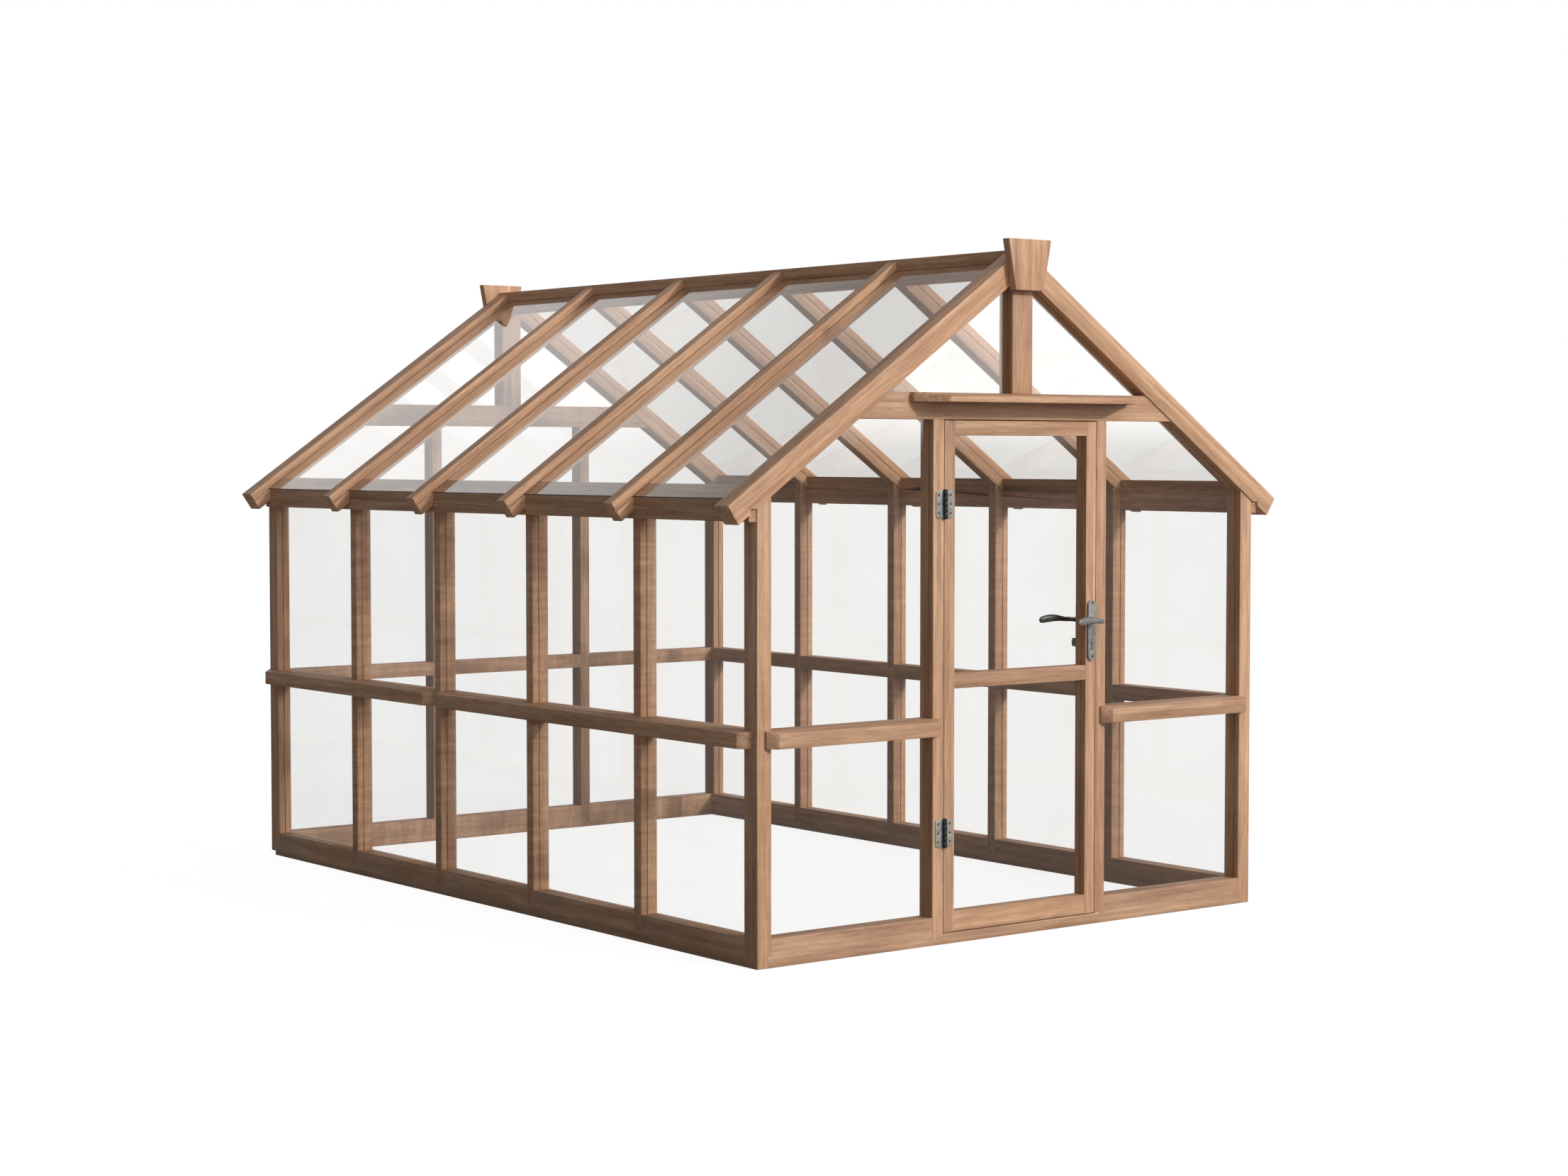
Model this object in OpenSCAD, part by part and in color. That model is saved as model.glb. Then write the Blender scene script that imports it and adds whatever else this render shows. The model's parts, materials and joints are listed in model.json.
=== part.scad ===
// Wooden greenhouse: grooved posts and rafters hold the panes, and a half-glazed door hangs at the front.
// X runs across the front, +Y to the back and +Z up, with the origin on the ground at the box's centre.

/* [Walls] */
// Width over the side walls
wall_w = 2400; // [2300:10:2700]
// First bay along the side, between post centres
bay_1 = 675; // [600:1:760]
// Second bay along the side
bay_2 = 713; // [600:1:760]
// Third bay along the side
bay_3 = 675; // [600:1:760]
// Fourth bay along the side
bay_4 = 676; // [600:1:760]
// Fifth bay along the side
bay_5 = 709; // [600:1:760]
// Width of a side post along the wall
post_w = 45; // [38:1:54]
// Depth of every wall post
post_d = 72; // [64:1:78]
// Width of a corner post across the front
corner_w = 60; // [54:1:76]
// Width of a corner post along the side
corner_d = 74; // [66:1:84]
// Width of a door post and of a back stud
door_post_w = 49; // [42:1:60]

/* [Sills] */
// Height of the sills
sill_h = 100; // [80:1:120]
// Thickness of the sills
sill_t = 72; // [60:1:78]
// Height of the sill left under the post feet
ledge_h = 40; // [30:1:50]
// Width of a corner post's foot
foot_w = 45; // [40:1:50]
// Depth of a corner post's foot
foot_d = 34; // [28:1:45]
// Height of the back corner feet over the ground
back_foot_z = 18; // [6:1:24]
// Top of the threshold under the door
threshold_z = 38; // [28:1:40]
// Width of the lug under a door post's outer half
lug_w = 20; // [14:1:24]
// Underside of that lug
lug_z = 20; // [14:1:24]

/* [Plates] */
// Underside of the plates that carry the rafters
plate_z = 1518; // [1450:1:1600]
// Thickness of a plate
plate_t = 65; // [63:1:72]
// How far a plate stands out from the posts
plate_out = 30.4; // [26:0.2:36]
// Height of a plate's outer face
plate_edge_h = 78; // [70:1:90]
// Front end of the plates behind the front wall's face
plate_front = 5; // [3:1:12]
// Back end of the plates ahead of the back wall's face
plate_back = 35; // [20:1:50]

/* [Roof] */
// Pitch of the roof
pitch = 34.65; // [32:0.05:37]
// Rafter tails beyond the walls, at their top corner
eaves_out = 125.8; // [110:0.2:150]
// Depth of the rafters, square to the slope
rafter_h = 78; // [72:1:90]
// Width of the rafters between the gables
rafter_w = 54; // [50:1:64]
// Width of the gable rafters
gable_w = 80; // [76:1:92]
// Gable rafters ahead of the wall's face
gable_out = 6; // [4:1:10]
// Height of the seat that a rafter has on the plate
seat_h = 18; // [12:1:24]
// Underside of the roof glass below the rafters' top
glass_drop = 35; // [32:1:40]
// Roof glass beyond the plate
glass_out = 3; // [1:1:12]
// Thickness of the ridge board
ridge_t = 40; // [34:1:48]
// Ridge board over the rafters' top
ridge_up = 7.5; // [4:0.5:12]

/* [Gables] */
// Underside of the ties, over the door
tie_z = 1868.5; // [1860:0.5:1900]
// Height of the ties
tie_h = 95; // [80:1:110]
// Width of the king posts
king_w = 98; // [84:1:110]
// Top width of the keystones
keystone_top_w = 206; // [190:1:230]
// Bottom width of the keystones
keystone_low_w = 134; // [120:1:150]
// Underside of the keystones below the ridge's top
keystone_drop = 148.6; // [136:0.2:160]
// Height of the keystones
keystone_h = 183; // [175:1:200]
// Thickness of the keystones
keystone_t = 34; // [26:1:40]

/* [Canopy] */
// Width of the canopy at the wall
canopy_w = 1056; // [980:2:1120]
// Projection of the canopy from the wall
canopy_d = 124; // [110:1:140]
// Square part of the canopy's ends
canopy_end = 23; // [15:1:30]
// Width of the clipped corners
canopy_clip = 80; // [60:1:100]
// Thickness of the canopy at its front edge
canopy_edge = 21; // [16:1:26]
// Thickness of the canopy at the wall
canopy_root = 34.5; // [28:0.5:40]

/* [Mid rails] */
// Underside of the mid rails
rail_z = 749; // [700:1:800]
// Height of a mid rail's front face
rail_front_h = 53; // [46:1:60]
// Height of a mid rail at the wall
rail_h = 61; // [61:1:70]
// Projection of the mid rails
rail_out = 40; // [34:1:46]
// Square part of a mid rail's end
rail_end = 9; // [7:1:14]
// Corner post left bare beside a rail's end, on the front
rail_bare_front = 33; // [26:1:40]
// Corner post left bare beside a rail's end, on the sides
rail_bare_side = 32; // [26:1:40]
// Door post covered by a front rail's end
rail_lap = 27; // [20:1:32]
// Bare strip beside the post where the side rails are joined
rail_joint_gap = 2; // [1:0.5:4]

/* [Glass] */
// Thickness of the panes
glass_t = 4; // [3:0.5:4]
// Panes behind the outer face of the wall
glass_inset = 27; // [24:1:28]
// Play on each side of a pane in its groove
glass_play = 0.5; // [0.3:0.1:1]
// Depth of the glazing grooves
groove = 9; // [7:0.5:10]
// Play between a pane's edge and the bottom of its groove
edge_play = 1; // [0.5:0.1:2]

/* [Door] */
// Width of the door
door_w = 737; // [700:1:760]
// Thickness of the door
door_t = 55; // [50:1:56]
// Gap round the door
door_gap = 3.5; // [3.2:0.1:4.5]
// Width of the door's stiles
stile_w = 48; // [47:1:56]
// Height of the door's top rail
door_top_h = 52.5; // [46:0.5:64]
// Underside of the door's middle rail
door_mid_z = 912; // [880:1:915]
// Height of the door's middle rail
door_mid_h = 55; // [48:1:64]
// Height of the door's bottom rail
door_low_h = 71; // [60:1:90]
// Door panes behind the door's outer face
door_glass_inset = 26.5; // [24:0.5:30]
// Thickness of the tenons on the door's rails
tenon_t = 14; // [10:1:18]
// Length of those tenons
tenon_l = 26; // [20:1:28]
// Projection of the door stops into the opening
stop_w = 10; // [8:1:14]
// Depth of the door stops
stop_d = 16; // [12:1:18]
// Space between the shut door and its stops
stop_gap = 1; // [0.5:0.5:2]

/* [Hinges] */
// Height of a hinge
hinge_h = 100; // [90:1:112]
// Width of a hinge laid open
hinge_w = 79; // [72:1:84]
// Underside of the lower hinge
hinge_low_z = 349; // [300:1:400]
// Underside of the upper hinge
hinge_high_z = 1519; // [1400:1:1600]
// Thickness of a hinge leaf
leaf_t = 3; // [2.5:0.1:3.5]
// Corner radius of a hinge leaf
leaf_r = 12; // [8:1:14]
// Diameter of a hinge knuckle
knuckle_d = 16; // [14:0.5:17]
// Diameter of a hinge pin
pin_d = 6; // [5:0.5:7]
// Radial play of a hinge pin
pin_play = 0.05; // [0.03:0.01:0.1]
// Diameter of the pins' heads
pin_head_d = 12; // [10:0.5:13]
// Thickness of the pins' heads
pin_head_t = 3; // [2:0.5:4]
// Diameter of the hinge screws
screw_d = 4.5; // [3.5:0.5:5]
// Diameter of the hinge screws' heads
head_d = 9; // [8:0.5:10]
// Length of the hinge screws
screw_l = 25; // [18:1:32]

/* [Lock] */
// Spindle behind the door's edge
backset = 21; // [20:0.5:22]
// Height of the lever spindle
spindle_z = 1131; // [1120:1:1140]
// Side of the square spindle
spindle_s = 8; // [7:1:8]
// Width of the backplates
backplate_w = 40; // [38:1:40]
// Height of the backplates
backplate_h = 225; // [220:1:230]
// Thickness of the backplates
backplate_t = 8; // [6:0.5:9]
// Underside of the backplates
backplate_z = 982; // [980:1:984]
// Diameter of the lever's neck
neck_d = 18; // [16:0.5:20]
// Height of the collar round the neck
collar_h = 4; // [3:0.5:6]
// Radial play of the neck in its collar
neck_play = 0.05; // [0.03:0.01:0.1]
// Start of the lever's grip from the backplate
grip_out = 62; // [52:1:68]
// Lean of the grip away from the door at its end
grip_lean = 8; // [0:0.5:12]
// Length of the lever's grip from the spindle
grip_l = 138; // [110:1:150]
// Height of the lever's grip at its widest
grip_h = 28; // [22:1:32]
// Thickness of the lever's grip at its end
grip_t = 12; // [9:0.5:14]
// Rise of the grip's arch
grip_rise = 6.5; // [4:0.5:12]
// Radius of the bend between the neck and the grip
bend_r = 14; // [12:0.5:20]
// Height of the cylinder's centre
cylinder_z = 1046; // [1044:1:1050]
// Diameter of the cylinder's round part
cylinder_d = 17; // [16:0.5:17.5]
// Height of the whole cylinder
cylinder_h = 33; // [31:1:34]
// Diameter of the thumb turn's shaft
turn_shaft_d = 8; // [6:0.5:8]
// Throw of the latch bolt
latch_throw = 12; // [10:0.5:13]
// Throw of the dead bolt
dead_throw = 14; // [12:0.5:14]
// Thickness of both bolts
bolt_t = 10; // [8:0.5:12]
// Height of the latch bolt
latch_h = 18; // [16:1:20]
// Height of the dead bolt
dead_h = 20; // [16:1:20]
// Play on each side of a bolt
bolt_play = 0.25; // [0.15:0.05:0.4]
// The key cylinder proud of the outer backplate
cylinder_out = 2; // [1:0.5:3]
// Depth of its key slot
slot_deep = 8; // [5:0.5:10]

/* [Hidden] */
$fn = 48;
// Overshoot of a cut past the face that it opens
cut = 1;
wall_x = wall_w / 2;
length = corner_d + bay_1 + bay_2 + bay_3 + bay_4 + bay_5;
y_first = corner_d / 2;
post_y = [
    y_first,
    y_first + bay_1,
    y_first + bay_1 + bay_2,
    y_first + bay_1 + bay_2 + bay_3,
    y_first + bay_1 + bay_2 + bay_3 + bay_4,
    length - y_first
];
last = len(post_y) - 1;
// The side rails are joined on this post
joint_post = 3;
y_shift = -(length + gable_out + keystone_t - canopy_d) / 2;

groove_w = glass_t + 2 * glass_play;
groove_in = glass_inset - glass_play;
bite = groove - edge_play;

// Points of the roof for the right-hand slope, as x and z
plate_x = wall_x + plate_out;
plate_in_x = plate_x - plate_t;
eaves_x = wall_x + eaves_out;
function top_z(x) = plate_z + plate_edge_h + (plate_x - x) * tan(pitch) + glass_drop / cos(pitch);
function line_z(x, depth) = top_z(x) - depth / cos(pitch);
function under_z(x) = line_z(x, rafter_h);
function line_x(z, depth) = (top_z(0) - depth / cos(pitch) - z) / tan(pitch);
function tail_point(depth) = [eaves_x - depth * sin(pitch), top_z(eaves_x) - depth * cos(pitch)];
ridge_x = ridge_t / 2;
ridge_low = under_z(ridge_x);
ridge_top = top_z(ridge_x) + ridge_up;
seat_z = under_z(plate_x) + seat_h;
keystone_z = ridge_top - keystone_drop;
// Depth of the glass and of its groove below the rafters' top
glass_deep = glass_drop - glass_t;
groove_deep_0 = glass_deep - glass_play;
groove_deep_1 = glass_drop + glass_play;

tie_top = tie_z + tie_h;
door_x = door_w / 2;
door_post_x = door_x + door_gap;
door_post_out = door_post_x + door_post_w;
corner_in_x = wall_x - corner_w;
rail_top = rail_z + rail_h;
rail_clip = rail_out - rail_end;
rail_bays_back = [
    [-corner_in_x, -door_post_out],
    [-door_post_x, door_post_x],
    [door_post_out, corner_in_x]
];

door_z = threshold_z + door_gap;
door_top = tie_z - door_gap;
pane_x = door_x - stile_w;
door_mid = door_t / 2;
stop_y = door_t + stop_gap;

// The hinge pins stand in the gap, one knuckle's radius and a little more off the wall
pin_x = -(door_x + door_gap / 2);
pin_y = -knuckle_d / 2 - 1;
knuckles = 5;
knuckle_gap = 0.4;
leaf_gap = 0.8;
screw_rows = [0.18, 0.5, 0.82];
screw_in = 12;
head_h = 2.4;

spindle_x = door_x - backset;
fixing_in_low = 13.7;
fixing_in_high = 9.5;
fixing_z = [backplate_z + fixing_in_low, backplate_z + backplate_h - fixing_in_high];
fixing_d = 5;
fixing_head_d = 8;
// Heads of the backplates' fixings below the face
fixing_sink = 3;
spindle_play = 0.5;
spindle_hole_d = spindle_s * sqrt(2) + 2 * spindle_play;
collar_wall = 4;
collar_d = neck_d + 2 * collar_wall;
faceplate_t = 3;
faceplate_w = 20;
case_t = 15;
case_under = 38;
case_over = 56;
case_z = [cylinder_z - case_under, spindle_z + case_over];
faceplate_over = 10;
case_back_x = door_x - stile_w + groove + 3;
latch_over = 26;
dead_over = 36;
latch_z = spindle_z + latch_over;
dead_z = cylinder_z + dead_over;
bolt_back = 2;
strike_t = 2;
strike_w = 24;
strike_over = 14;
pocket_over = 3;
turn_gap = 0.3;
web_share = 0.6;
// The lever's loft starts inside the neck, one step smaller
neck_l = 26;
neck_step = 0.6;
bend_rings = 6;
grip_rings = 18;
ring_sides = 20;
// Where the grip's rounded end begins, how small its last ring is, and how its rings crowd to the end
cap_from = 0.9;
cap_least = 0.14;
ring_crowd = 2;
// The grip swells by a sine, up to this angle, and the power sets where it is widest
swell_angle = 150;
swell_power = 1.3;
// Fall of the grip's end as a share of its rise
end_fall = 0.1;
stop_joint = 0.2;
stop_break = 4;

wood = "peru";
wood_dark = "sienna";
pewter = "slategray";
glass_tint = [0.8, 0.88, 0.9, 0.45];

// Everything is drawn from the front wall's face and then moved, so that the origin is central
module placed() {
    translate([0, y_shift, 0])
        children();
}

module left() {
    mirror([1, 0, 0])
        children();
}

module back() {
    translate([0, length, 0])
        mirror([0, 1, 0])
            children();
}

// A profile of x and z, run from one y to another
module along_y(y_0, y_1) {
    translate([0, y_1, 0])
        rotate([90, 0, 0])
            linear_extrude(y_1 - y_0)
                children();
}

// A profile of y and z, run from one x to another
module along_x(x_0, x_1) {
    translate([x_0, 0, 0])
        rotate([90, 0, 90])
            linear_extrude(x_1 - x_0)
                children();
}

// A box from its two opposite corners
module box(low, high) {
    translate(low)
        cube(high - low);
}

// Sills

module side_sill() {
    difference() {
        box([wall_x - sill_t, foot_d, 0], [wall_x, length - foot_d, sill_h]);
        for (i = [1 : last - 1])
            box([wall_x - sill_t - cut, post_y[i] - post_w / 2, ledge_h],
                [wall_x + cut, post_y[i] + post_w / 2, sill_h + cut]);
        box([corner_in_x, 0, ledge_h], [wall_x + cut, corner_d, sill_h + cut]);
        box([corner_in_x, length - corner_d, ledge_h], [wall_x + cut, length, sill_h + cut]);
        box([wall_x - groove_in - groove_w, 0, sill_h - groove], [wall_x - groove_in, length, sill_h + cut]);
    }
}

module end_sill() {
    difference() {
        box([foot_w - wall_x, 0, 0], [wall_x - foot_w, sill_t, sill_h]);
        for (turn = [0, 1])
            mirror([turn, 0, 0]) {
                box([corner_in_x, -cut, ledge_h], [wall_x, sill_t + cut, sill_h + cut]);
                box([wall_x - sill_t, foot_d, -cut], [wall_x, sill_t + cut, sill_h]);
                box([door_post_x, -cut, ledge_h], [door_post_out, sill_t + cut, sill_h + cut]);
                box([door_post_out - lug_w, -cut, lug_z], [door_post_out, sill_t + cut, sill_h]);
            }
        box([-wall_x, groove_in, sill_h - groove], [wall_x, groove_in + groove_w, sill_h + cut]);
    }
}

module sill_left() {
    color(wood_dark) placed() left() side_sill();
}

module sill_right() {
    color(wood_dark) placed() side_sill();
}

module sill_front() {
    color(wood) placed() difference() {
        end_sill();
        box([-door_post_x, -cut, threshold_z], [door_post_x, sill_t + cut, sill_h + cut]);
    }
}

module sill_back() {
    color(wood) placed() back() end_sill();
}

// Posts

module corner_post(foot_z, plate_gap) {
    difference() {
        union() {
            along_y(0, corner_d)
                polygon([
                    [corner_in_x, ledge_h],
                    [wall_x, ledge_h],
                    [wall_x, under_z(wall_x)],
                    [corner_in_x, under_z(corner_in_x)]
                ]);
            box([wall_x - foot_w, 0, foot_z], [wall_x, foot_d, sill_h]);
        }
        box([plate_in_x, plate_gap, plate_z], [plate_x, corner_d + cut, plate_z + plate_t + plate_edge_h]);
        box([corner_in_x - cut, groove_in, ledge_h - cut],
            [corner_in_x + groove, groove_in + groove_w, under_z(corner_in_x) + cut]);
        box([wall_x - groove_in - groove_w, corner_d - groove, ledge_h - cut],
            [wall_x - groove_in, corner_d + cut, plate_z + cut]);
    }
}

module corner_post_front_left() {
    color(wood) placed() left() corner_post(0, plate_front);
}

module corner_post_front_right() {
    color(wood) placed() corner_post(0, plate_front);
}

module corner_post_back_left() {
    color(wood) placed() back() left() corner_post(back_foot_z, plate_back);
}

module corner_post_back_right() {
    color(wood) placed() back() corner_post(back_foot_z, plate_back);
}

// The outer part of a side post stops under the plate and the inner part runs up to the rafter
module side_posts() {
    in_x = wall_x - post_d;
    for (i = [1 : last - 1])
        difference() {
            along_y(post_y[i] - post_w / 2, post_y[i] + post_w / 2)
                polygon([
                    [in_x, ledge_h],
                    [wall_x, ledge_h],
                    [wall_x, plate_z],
                    [plate_in_x, plate_z],
                    [plate_in_x, under_z(plate_in_x)],
                    [in_x, under_z(in_x)]
                ]);
            for (y = [post_y[i] - post_w / 2 - cut, post_y[i] + post_w / 2 - groove])
                box([wall_x - groove_in - groove_w, y, ledge_h - cut],
                    [wall_x - groove_in, y + groove + cut, plate_z + groove]);
        }
}

module side_posts_left() {
    color(wood) placed() left() side_posts();
}

module side_posts_right() {
    color(wood) placed() side_posts();
}

// A post beside the door or, with two grooves, a stud of the back wall
module end_post() {
    difference() {
        union() {
            box([door_post_x, 0, ledge_h], [door_post_out, post_d, tie_z]);
            box([door_post_out - lug_w, 0, lug_z], [door_post_out, sill_t, sill_h]);
        }
        box([door_post_out - groove, groove_in, ledge_h - cut],
            [door_post_out + cut, groove_in + groove_w, tie_z + cut]);
    }
}

module hinge_post() {
    color(wood) placed() difference() {
        left() end_post();
        hinge_screws(-1);
    }
}

module latch_post() {
    color(wood) placed() difference() {
        end_post();
        strike_shape();
        bolt_pockets();
    }
}

module back_studs() {
    color(wood) placed() back()
        for (turn = [0, 1])
            mirror([turn, 0, 0])
                difference() {
                    end_post();
                    box([door_post_x - cut, groove_in, ledge_h - cut],
                        [door_post_x + groove, groove_in + groove_w, tie_z + cut]);
                }
}

// Roof

module rafter_bar(y_0, y_1) {
    along_y(y_0, y_1)
        polygon([
            tail_point(0),
            tail_point(rafter_h),
            [plate_x, under_z(plate_x)],
            [plate_x, seat_z],
            [line_x(seat_z, rafter_h), seat_z],
            [ridge_x, under_z(ridge_x)],
            [ridge_x, top_z(ridge_x)]
        ]);
}

// The groove for the roof glass, from the tail to the ridge
module slope_groove(y_0, y_1) {
    reach = cut / cos(pitch);
    along_y(y_0, y_1)
        polygon([
            tail_point(groove_deep_0) + [cut, -cut * tan(pitch)],
            tail_point(groove_deep_1) + [cut, -cut * tan(pitch)],
            [ridge_x - reach, line_z(ridge_x - reach, groove_deep_1)],
            [ridge_x - reach, line_z(ridge_x - reach, groove_deep_0)]
        ]);
}

module common_rafter(y) {
    difference() {
        rafter_bar(y - rafter_w / 2, y + rafter_w / 2);
        slope_groove(y - rafter_w / 2 - cut, y - rafter_w / 2 + groove);
        slope_groove(y + rafter_w / 2 - groove, y + rafter_w / 2 + cut);
    }
}

// A gable rafter also holds the gable's panes in a groove along its underside
module gable_rafter() {
    y_in = gable_w - gable_out;
    difference() {
        rafter_bar(-gable_out, y_in);
        slope_groove(y_in - groove, y_in + cut);
        along_y(groove_in, groove_in + groove_w)
            polygon([
                [wall_x, line_z(wall_x, rafter_h + cut)],
                [wall_x, line_z(wall_x, rafter_h - groove)],
                [ridge_x, line_z(ridge_x, rafter_h - groove)],
                [ridge_x, line_z(ridge_x, rafter_h + cut)]
            ]);
    }
}

module gable_rafters() {
    gable_rafter();
    left() gable_rafter();
}

module gable_rafters_front() {
    color(wood) placed() gable_rafters();
}

module gable_rafters_back() {
    color(wood) placed() back() gable_rafters();
}

module common_rafters() {
    for (i = [1 : last - 1])
        common_rafter(post_y[i]);
}

module rafters_left() {
    color(wood) placed() left() common_rafters();
}

module rafters_right() {
    color(wood) placed() common_rafters();
}

// The plate's top is planed to the slope of the glass and housed for each rafter
module plate() {
    difference() {
        along_y(plate_front, length - plate_back)
            polygon([
                [plate_in_x, plate_z],
                [plate_x, plate_z],
                [plate_x, plate_z + plate_edge_h],
                [plate_in_x, line_z(plate_in_x, glass_drop)]
            ]);
        for (i = [1 : last - 1])
            rafter_bar(post_y[i] - rafter_w / 2, post_y[i] + rafter_w / 2);
        rafter_bar(-gable_out, gable_w - gable_out);
        rafter_bar(length + gable_out - gable_w, length + gable_out);
        box([wall_x - groove_in - groove_w, corner_d - groove, plate_z - cut],
            [wall_x - groove_in, length - corner_d + groove, plate_z + groove]);
    }
}

module plate_left() {
    color(wood_dark) placed() left() plate();
}

module plate_right() {
    color(wood_dark) placed() plate();
}

module ridge() {
    in_x = ridge_x - groove;
    color(wood_dark) placed() difference() {
        box([-ridge_x, -gable_out, ridge_low], [ridge_x, length + gable_out, ridge_top]);
        for (turn = [0, 1])
            mirror([turn, 0, 0])
                along_y(gable_w - gable_out - groove, length - gable_w + gable_out + groove)
                    polygon([
                        [in_x, line_z(in_x, groove_deep_0)],
                        [in_x, line_z(in_x, groove_deep_1)],
                        [ridge_x + cut, line_z(ridge_x + cut, groove_deep_1)],
                        [ridge_x + cut, line_z(ridge_x + cut, groove_deep_0)]
                    ]);
    }
}

// Gables

module keystone() {
    along_y(-gable_out - keystone_t, -gable_out)
        polygon([
            [-keystone_low_w / 2, keystone_z],
            [keystone_low_w / 2, keystone_z],
            [keystone_top_w / 2, keystone_z + keystone_h],
            [-keystone_top_w / 2, keystone_z + keystone_h]
        ]);
}

module keystone_front() {
    color(wood) placed() keystone();
}

module keystone_back() {
    color(wood) placed() back() keystone();
}

module king_post() {
    half = king_w / 2;
    difference() {
        along_y(0, post_d)
            polygon([
                [-half, tie_top],
                [half, tie_top],
                [half, under_z(half)],
                [ridge_x, ridge_low],
                [-ridge_x, ridge_low],
                [-half, under_z(half)]
            ]);
        for (x = [-half - cut, half - groove])
            box([x, groove_in, tie_top - cut], [x + groove + cut, groove_in + groove_w, ridge_low]);
    }
}

module king_post_front() {
    color(wood) placed() king_post();
}

module king_post_back() {
    color(wood) placed() back() king_post();
}

// The tie's ends are cut to the rafters, and its grooves stop at the posts
module tie() {
    low_x = line_x(tie_z, rafter_h);
    high_x = line_x(tie_top, rafter_h);
    difference() {
        along_y(0, post_d)
            polygon([[-low_x, tie_z], [low_x, tie_z], [high_x, tie_top], [-high_x, tie_top]]);
        for (turn = [0, 1])
            mirror([turn, 0, 0]) {
                box([door_post_out - groove, groove_in, tie_z - cut],
                    [low_x + cut, groove_in + groove_w, tie_z + groove]);
                box([king_w / 2 - groove, groove_in, tie_top - groove],
                    [low_x, groove_in + groove_w, tie_top + cut]);
            }
    }
}

module tie_front() {
    color(wood) placed() tie();
}

module tie_back() {
    color(wood) placed() back() difference() {
        tie();
        box([-door_post_x - groove, groove_in, tie_z - cut],
            [door_post_x + groove, groove_in + groove_w, tie_z + groove]);
    }
}

module canopy() {
    half = canopy_w / 2;
    front_x = half - canopy_clip;
    color(wood) placed() intersection() {
        along_x(-half, half)
            polygon([
                [-canopy_d, tie_top - canopy_root],
                [0, tie_top - canopy_root],
                [0, tie_top],
                [-canopy_d, tie_top - canopy_root + canopy_edge]
            ]);
        translate([0, 0, tie_z])
            linear_extrude(2 * tie_h)
                polygon([
                    [-half, 0],
                    [-half, -canopy_end],
                    [-front_x, -canopy_d],
                    [front_x, -canopy_d],
                    [half, -canopy_end],
                    [half, 0]
                ]);
    }
}

// Mid rails

// A rail laps over the posts outside and fills each bay between them, where it holds the panes.
// Its outer ends are clipped, and its top sheds water.
module mid_rail(x_0, x_1, bays) {
    low_x = min(x_0, bays[0][0]);
    high_x = max(x_1, bays[len(bays) - 1][1]);
    difference() {
        intersection() {
            along_x(low_x, high_x)
                polygon([
                    [-rail_out, rail_z],
                    [post_d, rail_z],
                    [post_d, rail_top],
                    [0, rail_top],
                    [-rail_out, rail_z + rail_front_h]
                ]);
            translate([0, 0, rail_z - cut])
                linear_extrude(rail_h + 2 * cut)
                    union() {
                        polygon([
                            [x_0, 0],
                            [x_0, -rail_end],
                            [x_0 + rail_clip, -rail_out],
                            [x_1 - rail_clip, -rail_out],
                            [x_1, -rail_end],
                            [x_1, 0]
                        ]);
                        for (bay = bays) {
                            translate([bay[0], 0])
                                square([bay[1] - bay[0], post_d]);
                            translate([max(bay[0], x_0), -rail_end])
                                square([min(bay[1], x_1) - max(bay[0], x_0), post_d]);
                        }
                    }
        }
        box([low_x, groove_in, rail_z - cut], [high_x, groove_in + groove_w, rail_z + groove]);
        box([low_x, groove_in, rail_top - groove], [high_x, groove_in + groove_w, rail_top + cut]);
    }
}

module mid_rails_front() {
    x_0 = door_post_out - rail_lap;
    x_1 = wall_x - rail_bare_front;
    color(wood) placed()
        for (turn = [0, 1])
            mirror([turn, 0, 0])
                mid_rail(x_0, x_1, [[door_post_out, corner_in_x]]);
}

module mid_rail_back() {
    x_1 = wall_x - rail_bare_front;
    color(wood) placed() back() mid_rail(-x_1, x_1, rail_bays_back);
}

function bay_start(i) = i == 0 ? corner_d : post_y[i] + post_w / 2;
function bay_end(i) = i == last - 1 ? length - corner_d : post_y[i + 1] - post_w / 2;

// Two lengths meet at a post, which stays bare between their clipped ends
module side_rails() {
    joint_near = post_y[joint_post] - post_w / 2 - rail_joint_gap;
    joint_far = post_y[joint_post] + post_w / 2 + rail_joint_gap;
    near_bays = [for (i = [0 : joint_post - 1]) [bay_start(i), bay_end(i)]];
    far_bays = [for (i = [joint_post : last - 1]) [bay_start(i), bay_end(i)]];
    translate([wall_x, 0, 0])
        rotate([0, 0, 90]) {
            mid_rail(rail_bare_side, joint_near, near_bays);
            mid_rail(joint_far, length, far_bays);
        }
}

module mid_rails_left() {
    color(wood_dark) placed() left() side_rails();
}

module mid_rails_right() {
    color(wood_dark) placed() side_rails();
}

// The stop on the latch side is broken where the inner backplate passes it
module door_stops() {
    in_x = door_post_x - stop_w;
    head_x = in_x - stop_joint;
    color(wood) placed() {
        difference() {
            for (turn = [0, 1])
                mirror([turn, 0, 0])
                    box([in_x, stop_y, threshold_z], [door_post_x, stop_y + stop_d, tie_z]);
            box([in_x - cut, stop_y - cut, backplate_z - stop_break],
                [door_post_x + cut, stop_y + stop_d + cut, backplate_z + backplate_h + stop_break]);
        }
        box([-head_x, stop_y, tie_z - stop_w], [head_x, stop_y + stop_d, tie_z]);
    }
}

// Glass

module side_pane(i, z_0, z_1) {
    box([wall_x - glass_inset - glass_t, bay_start(i) - bite, z_0 - bite],
        [wall_x - glass_inset, bay_end(i) + bite, z_1 + bite]);
}

module side_glass() {
    for (i = [0 : last - 1]) {
        side_pane(i, sill_h, rail_z);
        side_pane(i, rail_top, plate_z);
    }
}

module glass_left() {
    color(glass_tint) placed() left() side_glass();
}

module glass_right() {
    color(glass_tint) placed() side_glass();
}

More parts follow.
